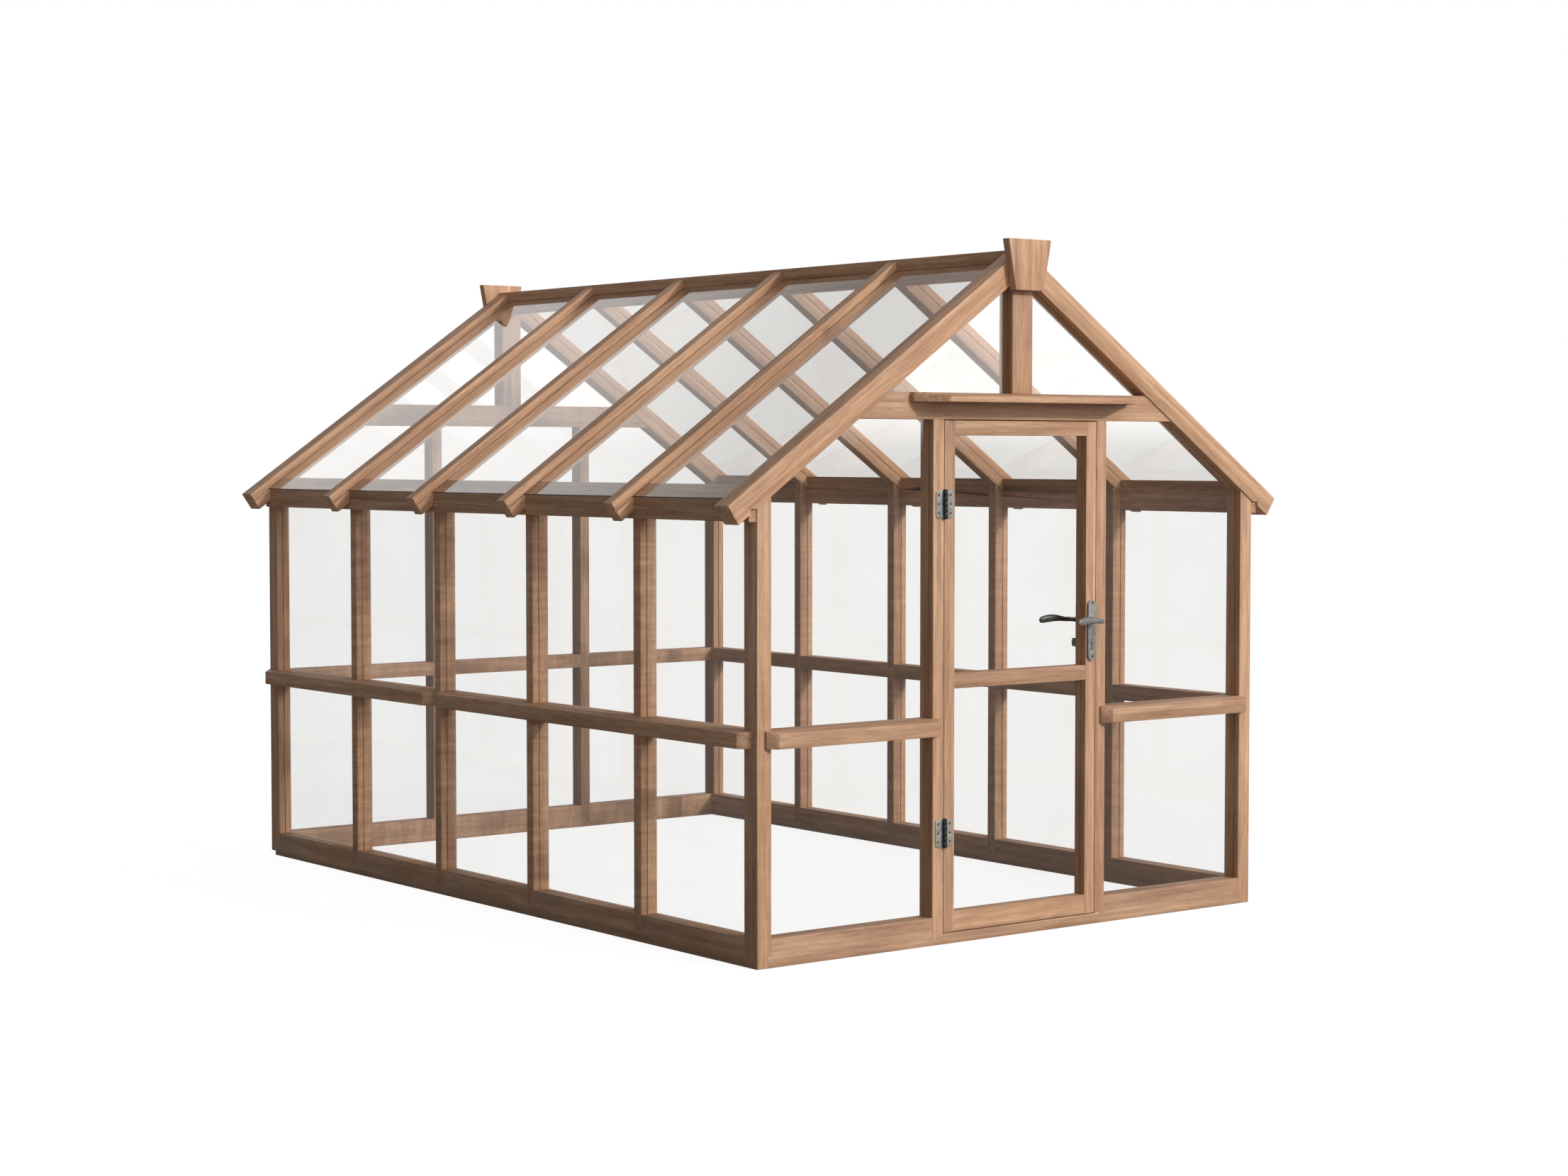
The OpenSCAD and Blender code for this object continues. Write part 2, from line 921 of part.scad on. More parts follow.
// The panes beside the door: the upper one follows the tie and then the rafter
module window_panes() {
    x_0 = door_post_out - bite;
    x_1 = corner_in_x + bite;
    box([x_0, glass_inset, sill_h - bite], [x_1, glass_inset + glass_t, rail_z + bite]);
    along_y(glass_inset, glass_inset + glass_t)
        polygon([
            [x_0, rail_top - bite],
            [x_1, rail_top - bite],
            [x_1, line_z(x_1, rafter_h - bite)],
            [line_x(tie_z + bite, rafter_h - bite), tie_z + bite],
            [x_0, tie_z + bite]
        ]);
}

module gable_pane() {
    x_0 = king_w / 2 - bite;
    along_y(glass_inset, glass_inset + glass_t)
        polygon([
            [x_0, tie_top - bite],
            [line_x(tie_top, rafter_h - bite), tie_top - bite],
            [line_x(tie_top, rafter_h - bite), tie_top],
            [x_0, line_z(x_0, rafter_h - bite)]
        ]);
}

module end_glass() {
    for (turn = [0, 1])
        mirror([turn, 0, 0]) {
            window_panes();
            gable_pane();
        }
}

module glass_front() {
    color(glass_tint) placed() end_glass();
}

module glass_back() {
    x_1 = door_post_x + bite;
    color(glass_tint) placed() back() {
        end_glass();
        box([-x_1, glass_inset, sill_h - bite], [x_1, glass_inset + glass_t, rail_z + bite]);
        box([-x_1, glass_inset, rail_top - bite], [x_1, glass_inset + glass_t, tie_z + bite]);
    }
}

function roof_start(i) = i == 0 ? gable_w - gable_out : post_y[i] + rafter_w / 2;
function roof_end(i) = i == last - 1 ? length - gable_w + gable_out : post_y[i + 1] - rafter_w / 2;

// The panes lie on the plate and run up into the ridge
module roof_glass() {
    high_x = ridge_x - bite;
    low_x = plate_x + glass_out;
    for (i = [0 : last - 1])
        along_y(roof_start(i) - bite, roof_end(i) + bite)
            polygon([
                [low_x, line_z(low_x, glass_drop)],
                [low_x + glass_t * sin(pitch), line_z(low_x, glass_drop) + glass_t * cos(pitch)],
                [high_x, line_z(high_x, glass_deep)],
                [high_x, line_z(high_x, glass_drop)]
            ]);
}

module roof_glass_left() {
    color(glass_tint) placed() left() roof_glass();
}

module roof_glass_right() {
    color(glass_tint) placed() roof_glass();
}

module door_glass() {
    x_1 = pane_x + bite;
    y_1 = door_glass_inset + glass_t;
    color(glass_tint) placed() {
        box([-x_1, door_glass_inset, door_z + door_low_h - bite], [x_1, y_1, door_mid_z + bite]);
        box([-x_1, door_glass_inset, door_mid_z + door_mid_h - bite],
            [x_1, y_1, door_top - door_top_h + bite]);
    }
}

// Door

door_rails = [
    [door_z, door_z + door_low_h],
    [door_mid_z, door_mid_z + door_mid_h],
    [door_top - door_top_h, door_top]
];

// The rails' tenons, which pass into the stiles clear of the lock
module tenons() {
    for (rail = door_rails)
        box([-pane_x - tenon_l, door_mid - tenon_t / 2, rail[0] + tenon_t],
            [pane_x + tenon_l, door_mid + tenon_t / 2, rail[1] - tenon_t]);
}

module door_groove() {
    y_0 = door_glass_inset - glass_play;
    box([-pane_x - groove, y_0, door_z + door_low_h - groove],
        [pane_x + groove, y_0 + groove_w, door_top - door_top_h + groove]);
}

module stile() {
    difference() {
        box([pane_x, 0, door_z], [door_x, door_t, door_top]);
        door_groove();
        tenons();
    }
}

module door_hinge_stile() {
    color(wood) placed() difference() {
        left() stile();
        hinge_screws(1);
    }
}

module door_latch_stile() {
    color(wood) placed() difference() {
        stile();
        case_shape();
        translate([spindle_x, -cut, spindle_z])
            rotate([-90, 0, 0])
                cylinder(h = door_t + 2 * cut, d = spindle_hole_d);
        cylinder_shape(-cut, door_t + cut);
        fixing_holes();
    }
}

module door_rail(i) {
    difference() {
        union() {
            box([-pane_x, 0, door_rails[i][0]], [pane_x, door_t, door_rails[i][1]]);
            intersection() {
                tenons();
                box([-door_x, 0, door_rails[i][0]], [door_x, door_t, door_rails[i][1]]);
            }
        }
        difference() {
            door_groove();
            box([-pane_x - groove - cut, 0, door_mid_z + groove],
                [pane_x + groove + cut, door_t, door_mid_z + door_mid_h - groove]);
        }
    }
}

module door_top_rail() {
    color(wood) placed() door_rail(2);
}

module door_mid_rail() {
    color(wood) placed() door_rail(1);
}

module door_bottom_rail() {
    color(wood) placed() door_rail(0);
}

// Hinges

// Screw places and shapes on one side of the pins: -1 for the frame and 1 for the door
module hinge_screws(side) {
    x = pin_x + side * (hinge_w / 2 - screw_in);
    for (low = [hinge_low_z, hinge_high_z])
        for (row = screw_rows)
            translate([x, -leaf_t, low + row * hinge_h])
                rotate([-90, 0, 0])
                    screw_shape(screw_d, head_d, head_h, screw_l);
}

module screw_shape(shank_d, top_d, top_h, reach) {
    cylinder(h = top_h, d1 = top_d, d2 = shank_d);
    cylinder(h = reach, d = shank_d);
}

module leaf_plate(side) {
    reach = hinge_w / 2;
    along_y(-leaf_t, 0)
        translate([pin_x, 0])
            mirror([side < 0 ? 1 : 0, 0]) {
                translate([leaf_gap / 2, 0])
                    square([reach - leaf_gap / 2 - leaf_r, hinge_h]);
                translate([reach - 2 * leaf_r, leaf_r])
                    square([2 * leaf_r, hinge_h - 2 * leaf_r]);
                for (z = [leaf_r, hinge_h - leaf_r])
                    translate([reach - leaf_r, z])
                        circle(r = leaf_r);
            }
}

// The frame's leaf has the odd knuckles and the door's leaf the even ones
module leaf(side) {
    step = hinge_h / knuckles;
    mine = side < 0 ? 0 : 1;
    difference() {
        union() {
            leaf_plate(side);
            for (k = [mine : 2 : knuckles - 1])
                translate([pin_x, pin_y, k * step + knuckle_gap / 2])
                    cylinder(h = step - knuckle_gap, d = knuckle_d);
        }
        for (k = [1 - mine : 2 : knuckles - 1])
            translate([pin_x, pin_y, k * step - knuckle_gap / 2])
                cylinder(h = step + knuckle_gap, d = knuckle_d + 2 * knuckle_gap);
        translate([pin_x, pin_y, -cut])
            cylinder(h = hinge_h + 2 * cut, d = pin_d + (side < 0 ? 0 : 2 * pin_play));
    }
}

module leaves(side) {
    difference() {
        for (low = [hinge_low_z, hinge_high_z])
            translate([0, 0, low])
                leaf(side);
        hinge_screws(side);
    }
}

module hinge_frame_leaves() {
    color(pewter) placed() leaves(-1);
}

module hinge_door_leaves() {
    color(pewter) placed() leaves(1);
}

module hinge_pins() {
    color(pewter) placed()
        for (low = [hinge_low_z, hinge_high_z])
            translate([pin_x, pin_y, low]) {
                cylinder(h = hinge_h, d = pin_d);
                for (z = [-pin_head_t, hinge_h])
                    translate([0, 0, z])
                        cylinder(h = pin_head_t, d = pin_head_d);
            }
}

module frame_screws() {
    color(pewter) placed() hinge_screws(-1);
}

// The hinge screws of the door, and the bolts that draw the two backplates together
module door_screws() {
    color(pewter) placed() {
        hinge_screws(1);
        fixings();
    }
}

module fixings() {
    reach = door_t + 2 * (backplate_t - fixing_sink);
    for (z = fixing_z)
        translate([spindle_x, fixing_sink - backplate_t, z])
            rotate([-90, 0, 0]) {
                screw_shape(fixing_d, fixing_head_d, head_h, reach);
                translate([0, 0, reach - head_h])
                    cylinder(h = head_h, d1 = fixing_d, d2 = fixing_head_d);
            }
}

// The holes that the backplates' fixings pass through in the door, and in the case where they meet it
module fixing_holes() {
    for (z = fixing_z)
        translate([spindle_x, -cut, z])
            rotate([-90, 0, 0])
                cylinder(h = door_t + 2 * cut, d = fixing_d);
}

// Lock

// The round-topped outline of the key cylinder, from one y to another
module cylinder_shape(y_0, y_1) {
    web = cylinder_d * web_share;
    along_y(y_0, y_1)
        translate([spindle_x, cylinder_z]) {
            circle(d = cylinder_d);
            translate([-web / 2, web / 2 + cylinder_d / 2 - cylinder_h])
                square([web, cylinder_h - web / 2 - cylinder_d / 2]);
            translate([0, web / 2 + cylinder_d / 2 - cylinder_h])
                circle(d = web);
        }
}

module backplate() {
    r = backplate_w / 2;
    difference() {
        union() {
            along_y(-backplate_t, 0)
                translate([spindle_x, backplate_z]) {
                    translate([-r, r])
                        square([backplate_w, backplate_h - backplate_w]);
                    for (z = [r, backplate_h - r])
                        translate([0, z])
                            circle(r = r);
                }
            translate([spindle_x, 0, spindle_z])
                rotate([90, 0, 0])
                    cylinder(h = backplate_t + collar_h, d = collar_d);
        }
        translate([spindle_x, -backplate_t, spindle_z])
            rotate([90, 0, 0])
                cylinder(h = collar_h + cut, d = neck_d + 2 * neck_play);
        translate([spindle_x, cut, spindle_z])
            rotate([90, 0, 0])
                cylinder(h = backplate_t + 2 * cut, d = spindle_hole_d);
        cylinder_shape(-backplate_t - cut, cut);
        fixings();
        for (z = fixing_z)
            translate([spindle_x, -backplate_t - cut, z])
                rotate([-90, 0, 0])
                    cylinder(h = cut + fixing_sink, d = fixing_head_d);
    }
}

// The inner fittings mirror the outer ones about the middle of the door
module inside() {
    translate([0, door_t, 0])
        mirror([0, 1, 0])
            children();
}

module backplate_outer() {
    color(pewter) placed() backplate();
}

module backplate_inner() {
    color(pewter) placed() inside() backplate();
}

// The lever is lofted through oval rings: straight out from the neck, round the bend and along the arch.
// Each ring is [x, y, z, heading, half width, half height], from the backplate's face.
neck_r = neck_d / 2 - neck_step;
loft_y = neck_l - spindle_s / 2;
bend_y = grip_out - bend_r;
function bend_ring(i) =
    let (a = 90 * i / bend_rings)
    [-bend_r * (1 - cos(a)), -bend_y - bend_r * sin(a), 0, a, neck_r, neck_r];
function grip_cap(u) = u < cap_from ? 1 : max(cap_least, sqrt(1 - pow((u - cap_from) / (1 - cap_from), 2)));
function grip_ring(i) =
    let (
        u = 1 - pow(1 - i / grip_rings, ring_crowd),
        wide = neck_r + (grip_t / 2 - neck_r) * u,
        high = neck_r + (grip_h / 2 - neck_r) * sin(swell_angle * pow(u, swell_power))
    )
    [
        -bend_r - (grip_l - bend_r) * u,
        -grip_out - grip_lean * u * u,
        grip_rise * (sin(180 * u) - end_fall * u * u),
        90,
        wide * grip_cap(u),
        high * grip_cap(u)
    ];
lever_rings = concat(
    [[0, -loft_y, 0, 0, neck_r, neck_r]],
    [for (i = [0 : bend_rings]) bend_ring(i)],
    [for (i = [1 : grip_rings]) grip_ring(i)]
);
function ring_point(ring, a) = [
    ring[0] + ring[4] * cos(a) * cos(ring[3]),
    ring[1] - ring[4] * cos(a) * sin(ring[3]),
    ring[2] + ring[5] * sin(a)
];

module lever_loft() {
    n = ring_sides;
    rings = len(lever_rings);
    polyhedron(
        points = [for (ring = lever_rings) for (k = [0 : n - 1]) ring_point(ring, 360 * k / n)],
        faces = concat(
            [[for (k = [0 : n - 1]) k]],
            [for (r = [0 : rings - 2]) for (k = [0 : n - 1])
                [r * n + k, (r + 1) * n + k, r * n + (k + 1) % n]],
            [for (r = [0 : rings - 2]) for (k = [0 : n - 1])
                [r * n + (k + 1) % n, (r + 1) * n + k, (r + 1) * n + (k + 1) % n]],
            [[for (k = [0 : n - 1]) rings * n - 1 - k]]
        )
    );
}

module lever() {
    difference() {
        translate([spindle_x, -backplate_t, spindle_z]) {
            translate([0, -turn_gap, 0])
                rotate([90, 0, 0])
                    cylinder(h = neck_l - turn_gap, d = neck_d);
            lever_loft();
        }
        spindle_bar();
    }
}

module spindle_bar() {
    reach = door_t + 2 * (backplate_t + neck_l - spindle_s);
    translate([spindle_x, door_mid, spindle_z])
        cube([spindle_s, reach, spindle_s], center = true);
}

module lever_outer() {
    color(pewter) placed() lever();
}

module lever_inner() {
    color(pewter) placed() inside() lever();
}

module spindle() {
    color(pewter) placed() spindle_bar();
}

// The case lies in the stile's edge behind its faceplate
module case_shape() {
    box([case_back_x, door_mid - case_t / 2, case_z[0]],
        [door_x - faceplate_t, door_mid + case_t / 2, case_z[1]]);
    box([door_x - faceplate_t, door_mid - faceplate_w / 2, case_z[0] - faceplate_over],
        [door_x + cut, door_mid + faceplate_w / 2, case_z[1] + faceplate_over]);
}

module bolt_hole(z, high) {
    box([case_back_x + bolt_back - bolt_play, door_mid - bolt_t / 2 - bolt_play, z - high / 2 - bolt_play],
        [door_x + cut, door_mid + bolt_t / 2 + bolt_play, z + high / 2 + bolt_play]);
}

module lock_case() {
    color(pewter) placed() difference() {
        case_shape();
        box([door_x, 0, 0], [wall_x, door_t, tie_z]);
        bolt_hole(latch_z, latch_h);
        bolt_hole(dead_z, dead_h);
        translate([spindle_x, -cut, spindle_z])
            rotate([-90, 0, 0])
                cylinder(h = door_t, d = spindle_hole_d);
        cylinder_shape(0, door_t);
        fixing_holes();
    }
}

// The latch bolt is shown thrown, with its bevel on the side that meets the post as the door shuts
module latch_bolt() {
    x_0 = case_back_x + bolt_back + latch_throw;
    x_1 = door_x + latch_throw;
    color(pewter) placed()
        translate([0, door_mid, latch_z - latch_h / 2])
            linear_extrude(latch_h)
                polygon([
                    [x_0, -bolt_t / 2],
                    [x_1, -bolt_t / 2],
                    [x_1, -bolt_t / 4],
                    [x_1 - bolt_t * 0.75, bolt_t / 2],
                    [x_0, bolt_t / 2]
                ]);
}

// The dead bolt is shown drawn back, flush with the faceplate
module dead_bolt() {
    color(pewter) placed()
        box([case_back_x + bolt_back, door_mid - bolt_t / 2, dead_z - dead_h / 2],
            [door_x, door_mid + bolt_t / 2, dead_z + dead_h / 2]);
}

module lock_cylinder() {
    shaft_y = door_mid + bolt_t;
    color(pewter) placed() difference() {
        cylinder_shape(-backplate_t - cylinder_out, door_t + backplate_t);
        translate([spindle_x, shaft_y, cylinder_z])
            rotate([-90, 0, 0])
                cylinder(h = door_t, d = turn_shaft_d + 2 * neck_play);
        translate([spindle_x, 0, cylinder_z])
            key_slot();
    }
}

module key_slot() {
    slot_w = 1.8;
    slot_h = 9;
    face = -backplate_t - cylinder_out;
    box([-slot_w / 2, face - cut, -slot_h / 2], [slot_w / 2, face + slot_deep, slot_h / 2]);
}

// A disc and a flat grip on a shaft that turns in the cylinder
module thumb_turn() {
    disc_t = 6;
    disc_d = 22;
    grip_w = 9;
    grip_high = 31;
    grip_reach = 37;
    shaft_l = door_t - door_mid - bolt_t + backplate_t - cut;
    color(pewter) placed()
        translate([spindle_x, door_t + backplate_t + turn_gap, cylinder_z])
            rotate([-90, 0, 0]) {
                cylinder(h = disc_t, d = disc_d);
                translate([0, 0, -shaft_l])
                    cylinder(h = shaft_l + cut, d = turn_shaft_d);
                intersection() {
                    translate([-grip_w / 2, -grip_high / 2, disc_t / 2])
                        cube([grip_w, grip_high, grip_reach - disc_t / 2]);
                    rotate([0, 90, 0])
                        translate([-disc_t, 0, -grip_w])
                            cylinder(h = 2 * grip_w, r = grip_reach - disc_t);
                }
            }
}

// The strike plate lies flush in the post, and the bolts go through it into their pockets
module strike_shape() {
    box([door_post_x, door_mid - strike_w / 2, dead_z - dead_h / 2 - strike_over],
        [door_post_x + strike_t, door_mid + strike_w / 2, latch_z + latch_h / 2 + strike_over]);
}

module bolt_pocket(z, high, throw) {
    side = bolt_t / 2 + cut;
    box([door_post_x - cut, door_mid - side, z - high / 2 - cut],
        [door_x + throw + pocket_over, door_mid + side, z + high / 2 + cut]);
}

module bolt_pockets() {
    bolt_pocket(latch_z, latch_h, latch_throw);
    bolt_pocket(dead_z, dead_h, dead_throw);
}

module strike_plate() {
    color(pewter) placed() difference() {
        strike_shape();
        bolt_pockets();
    }
}

sill_front();
sill_back();
sill_left();
sill_right();
corner_post_front_left();
corner_post_front_right();
corner_post_back_left();
corner_post_back_right();
side_posts_left();
side_posts_right();
hinge_post();
latch_post();
back_studs();
plate_left();
plate_right();
gable_rafters_front();
gable_rafters_back();
rafters_left();
rafters_right();
ridge();
keystone_front();
keystone_back();
king_post_front();
king_post_back();
tie_front();
tie_back();
canopy();
mid_rails_front();
mid_rail_back();
mid_rails_left();
mid_rails_right();
door_stops();
glass_left();
glass_right();
glass_front();
glass_back();
roof_glass_left();
roof_glass_right();
door_glass();
door_hinge_stile();
door_latch_stile();
door_top_rail();
door_mid_rail();
door_bottom_rail();
hinge_frame_leaves();
hinge_door_leaves();
hinge_pins();
frame_screws();
door_screws();
backplate_outer();
backplate_inner();
lever_outer();
lever_inner();
spindle();
lock_case();
latch_bolt();
dead_bolt();
lock_cylinder();
thumb_turn();
strike_plate();
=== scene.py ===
import math

import bpy
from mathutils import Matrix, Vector
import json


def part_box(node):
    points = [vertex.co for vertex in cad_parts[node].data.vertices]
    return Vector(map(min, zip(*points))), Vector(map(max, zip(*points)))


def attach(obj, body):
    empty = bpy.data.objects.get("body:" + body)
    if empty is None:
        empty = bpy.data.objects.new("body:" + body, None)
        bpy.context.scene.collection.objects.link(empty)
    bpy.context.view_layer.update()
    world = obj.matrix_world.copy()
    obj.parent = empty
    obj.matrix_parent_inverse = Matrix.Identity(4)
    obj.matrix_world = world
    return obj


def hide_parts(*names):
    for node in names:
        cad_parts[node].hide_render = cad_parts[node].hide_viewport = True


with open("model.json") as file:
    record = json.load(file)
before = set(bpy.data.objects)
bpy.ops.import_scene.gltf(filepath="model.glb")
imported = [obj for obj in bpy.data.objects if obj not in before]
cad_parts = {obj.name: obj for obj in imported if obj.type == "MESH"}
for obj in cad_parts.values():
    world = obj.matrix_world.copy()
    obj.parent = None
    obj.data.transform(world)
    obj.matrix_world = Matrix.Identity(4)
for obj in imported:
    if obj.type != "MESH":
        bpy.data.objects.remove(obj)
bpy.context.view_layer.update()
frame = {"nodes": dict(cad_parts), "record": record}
record = frame["record"]
bodyOf = {node: body for body, nodes in record["behaviour"]["bodies"].items() for node in nodes}
print("frame loaded:", len(frame["nodes"]), "nodes")


# A shader socket that takes part in sums, so a pattern reads as an expression
class Flow:
    def __init__(self, sheet, socket):
        self.sheet = sheet
        self.socket = socket

    def math(self, kind, *others):
        inputs = dict(enumerate((self,) + others))
        return self.sheet.add("ShaderNodeMath", {"operation": kind}, inputs)

    def __add__(self, other): return self.math("ADD", other)
    def __radd__(self, other): return self.math("ADD", other)
    def __sub__(self, other): return self.math("SUBTRACT", other)
    def __rsub__(self, other): return self.sheet.lift(other).math("SUBTRACT", self)
    def __mul__(self, other): return self.math("MULTIPLY", other)
    def __truediv__(self, other): return self.math("DIVIDE", other)

    def step(self, low, high):  # 0 under low, 1 over high, smooth between
        inputs = {"Value": self, "From Min": low, "From Max": high}
        return self.sheet.add("ShaderNodeMapRange", {"interpolation_type": "SMOOTHSTEP"}, inputs)

    def swing(self):  # a noise about its middle
        return self - 0.5


# A material or world, with one way to add any node
class Sheet:
    def __init__(self, owner):
        owner.use_nodes = True
        self.owner = owner
        self.nodes = owner.node_tree.nodes
        self.links = owner.node_tree.links
        self.nodes.clear()

    def add(self, kind, settings=None, inputs=None, output=0):
        node = self.nodes.new(kind)
        for name, value in (settings or {}).items():
            if name == "stops":
                ramp = node.color_ramp.elements
                while len(ramp) < len(value):
                    ramp.new(0.5)
                for stop, (place, colour) in zip(ramp, value):
                    stop.position = place
                    stop.color = (*colour, 1)
            else:
                setattr(node, name, value)
        for name, value in (inputs or {}).items():
            if isinstance(value, Flow):
                self.links.new(value.socket, node.inputs[name])
            else:
                node.inputs[name].default_value = value
        return Flow(self, node.outputs[output]) if node.outputs else None

    def lift(self, number):
        return self.add("ShaderNodeMath", {"operation": "ADD"}, {0: number, 1: 0.0})

    def blend(self, share, first, second, kind="MIX"):  # colours
        first, second = (c if isinstance(c, Flow) else (*c, 1) for c in (first, second))
        settings = {"data_type": "RGBA", "blend_type": kind}
        return self.add("ShaderNodeMix", settings, {0: share, 6: first, 7: second}, 2)

    def vector(self, x, y, z):
        return self.add("ShaderNodeCombineXYZ", None, {0: x, 1: y, 2: z})

    def parts(self, spot):
        return [self.add("ShaderNodeSeparateXYZ", None, {0: spot}, i) for i in range(3)]

    def noise(self, place, detail, rough):
        inputs = {"Vector": place, "Scale": 1.0, "Detail": detail, "Roughness": rough}
        return self.add("ShaderNodeTexNoise", None, inputs)

    def path(self, name):
        return self.add("ShaderNodeLightPath", None, None, name)

    def mirrored(self):  # 1 for a ray that has been mirrored at least once
        return self.path("Glossy Depth").math("MINIMUM", 1.0)

    def place(self):  # the piece's own x, y and z
        return self.parts(self.add("ShaderNodeTexCoord", None, None, 3))

    def bump(self, height, strength, depth):
        inputs = {"Height": height, "Strength": strength, "Distance": depth}
        return self.add("ShaderNodeBump", None, inputs)

    def finish(self, kind, inputs):  # the last shader goes to the output
        world = isinstance(self.owner, bpy.types.World)
        output = "ShaderNodeOutputWorld" if world else "ShaderNodeOutputMaterial"
        self.add(output, None, {"Surface": self.add(kind, None, inputs)})
        return self.owner


def newMaterial(name):
    return Sheet(bpy.data.materials.new(name))


def paint(piece, material):
    piece.data.materials.clear()
    piece.data.materials.append(material)


# Timber: rings round a pith that wanders, long fibres, short pores and a slow drift of tone
timberLook = {
    "light": (0.72, 0.445, 0.275), "mid": (0.515, 0.292, 0.172), "dark": (0.30, 0.150, 0.082),
    "midAt": 0.45, "pore": (0.16, 0.080, 0.045), "toneFade": (1.0, 0.995, 0.985),
    "patterns": {  # how often in a metre along the grain and across it, detail, roughness
        "drift": (0.8, 5.0, 2.0, 0.5), "wanderOver": (1.5, 4.0, 1.5, 0.5),
        "wanderSide": (1.1, 4.0, 1.5, 0.5), "fuzz": (9.0, 90.0, 3.0, 0.6),
        "fibre": (11.0, 330.0, 4.0, 0.65), "streak": (1.5, 48.0, 3.0, 0.55),
        "blotch": (3.4, 20.0, 3.0, 0.6), "pore": (40.0, 1100.0, 2.0, 0.5),
        "saw": (34.0, 6.0, 3.0, 0.65),
    },
    "shares": {
        "late": 0.16, "streak": 1.35, "blotch": 0.8, "fibre": 0.6, "drift": 0.4, "saw": 1.5,
        "start": 0.36, "pore": 0.35, "calm": 0.55,
    },
    "ringWidth": 0.016, "ringFuzz": 2.2, "lateFrom": (0.35, 0.92), "lateTo": (0.93, 1.0),
    "pithOver": 0.11, "pithSide": 0.066, "wanderOver": 0.17, "wanderSide": 0.085,
    "poreEdge": (0.66, 0.76), "seedStep": 3.17,
    "roughness": 0.56, "roughFibre": 0.22, "roughPore": 0.12, "specular": 0.35,
    "bumpFibre": 0.6, "bumpLate": 0.25, "bumpPore": 0.9, "bumpStrength": 0.35, "bumpDepth": 0.0005,
}
roofSlope = math.radians(34.65)
slopeSign = {"right": -1, "left": 1}


# The place as lengths along the grain and across it, both ways
def grain(s, way):
    x, y, z = s.place()
    if way == "x":
        return x, z, y
    if way == "y":
        return y, z, x
    if way == "z":
        return z, x, y
    run, rise = math.cos(roofSlope), slopeSign[way] * math.sin(roofSlope)
    return x * run + z * rise, z * run - x * rise, y


def timber(name, way, seed, toneAndShade, ripple):
    look, shares = timberLook, timberLook["shares"]
    s = newMaterial(name)
    along, over, side = grain(s, way)
    shift = seed * look["seedStep"]

    def pattern(kind, turn=1, up=0.0, out=0.0):
        long, wide, detail, rough = look["patterns"][kind]
        spot = s.vector(along * long + shift * turn, over * wide + up, side * wide + out)
        return s.noise(spot, detail, rough)

    a = over + look["pithOver"] + pattern("wanderOver", out=7.0).swing() * look["wanderOver"]
    b = side + look["pithSide"] + pattern("wanderSide", -1, up=3.0).swing() * look["wanderSide"]
    fuzz = pattern("fuzz").swing() * look["ringFuzz"]
    rings = (a * a + b * b).math("SQRT") / look["ringWidth"] + fuzz
    ring = rings.math("FRACT")
    late = ring.step(*look["lateFrom"]) * (1 - ring.step(*look["lateTo"]))
    drift, fibre, streak, blotch = (pattern(k) for k in ("drift", "fibre", "streak", "blotch"))
    pore = pattern("pore").step(*look["poreEdge"])

    calm = 1 - shares["calm"] * ripple
    depth = late * shares["late"] + streak.swing() * shares["streak"] * calm
    depth = depth + blotch.swing() * shares["blotch"] * calm + fibre.swing() * shares["fibre"]
    depth = depth + drift.swing() * shares["drift"] + shares["start"]
    if ripple:  # saw marks across the grain
        depth = depth + pattern("saw").swing() * ripple * shares["saw"]

    stops = [(0.0, look["light"]), (look["midAt"], look["mid"]), (1.0, look["dark"])]
    base = s.add("ShaderNodeValToRGB", {"stops": stops}, {0: depth})
    base = s.blend(pore * shares["pore"], base, look["pore"])
    # the piece's tone, which on the left wall's pieces is painted shade
    base = s.blend(1.0, base, [toneAndShade * fade for fade in look["toneFade"]], "MULTIPLY")
    rough = look["roughness"] + fibre.swing() * look["roughFibre"] + pore * look["roughPore"]
    height = fibre * look["bumpFibre"] - late * look["bumpLate"] - pore * look["bumpPore"]
    bump = s.bump(height, look["bumpStrength"], look["bumpDepth"])
    return s.finish("ShaderNodeBsdfPrincipled", {
        "Base Color": base, "Roughness": rough, "Normal": bump, "Specular IOR Level": look["specular"]})


# Glass: clear for seen rays, and a plain veil for the rays that carry shadow and soft light
glassLook = {
    "tint": (0.985, 0.982, 0.972), "film": (0.965, 0.96, 0.95),
    "roofTint": (0.972, 0.962, 0.948), "roofFilm": (0.955, 0.943, 0.93),
    "soft": (0.95, 0.95, 0.945), "sunlit": (0.80, 0.80, 0.79),
    "ior": 1.45, "filmScale": (1.7, 1.7, 2.3), "filmNoise": (3.0, 0.6), "filmEdge": (0.4, 0.8),
}


def paneGlass(name):
    look = glassLook
    s = newMaterial(name)
    spot = [part * scale for part, scale in zip(s.place(), look["filmScale"])]
    film = s.noise(s.vector(*spot), *look["filmNoise"]).step(*look["filmEdge"])
    clean, filmed = ("roofTint", "roofFilm") if name.startswith("roof") else ("tint", "film")
    tint = s.blend(film, look[clean], look[filmed])
    pane = s.add("ShaderNodeBsdfPrincipled", None, {
        "Base Color": tint, "Roughness": 0.0, "IOR": look["ior"], "Transmission Weight": 1.0})
    shadow = s.path("Is Shadow Ray")
    through = s.blend(shadow, look["soft"], look["sunlit"])
    clear = s.add("ShaderNodeBsdfTransparent", None, {"Color": through})
    unseen = shadow.math("MAXIMUM", s.path("Is Diffuse Ray"))
    return s.finish("ShaderNodeMixShader", {0: unseen, 1: pane, 2: clear})


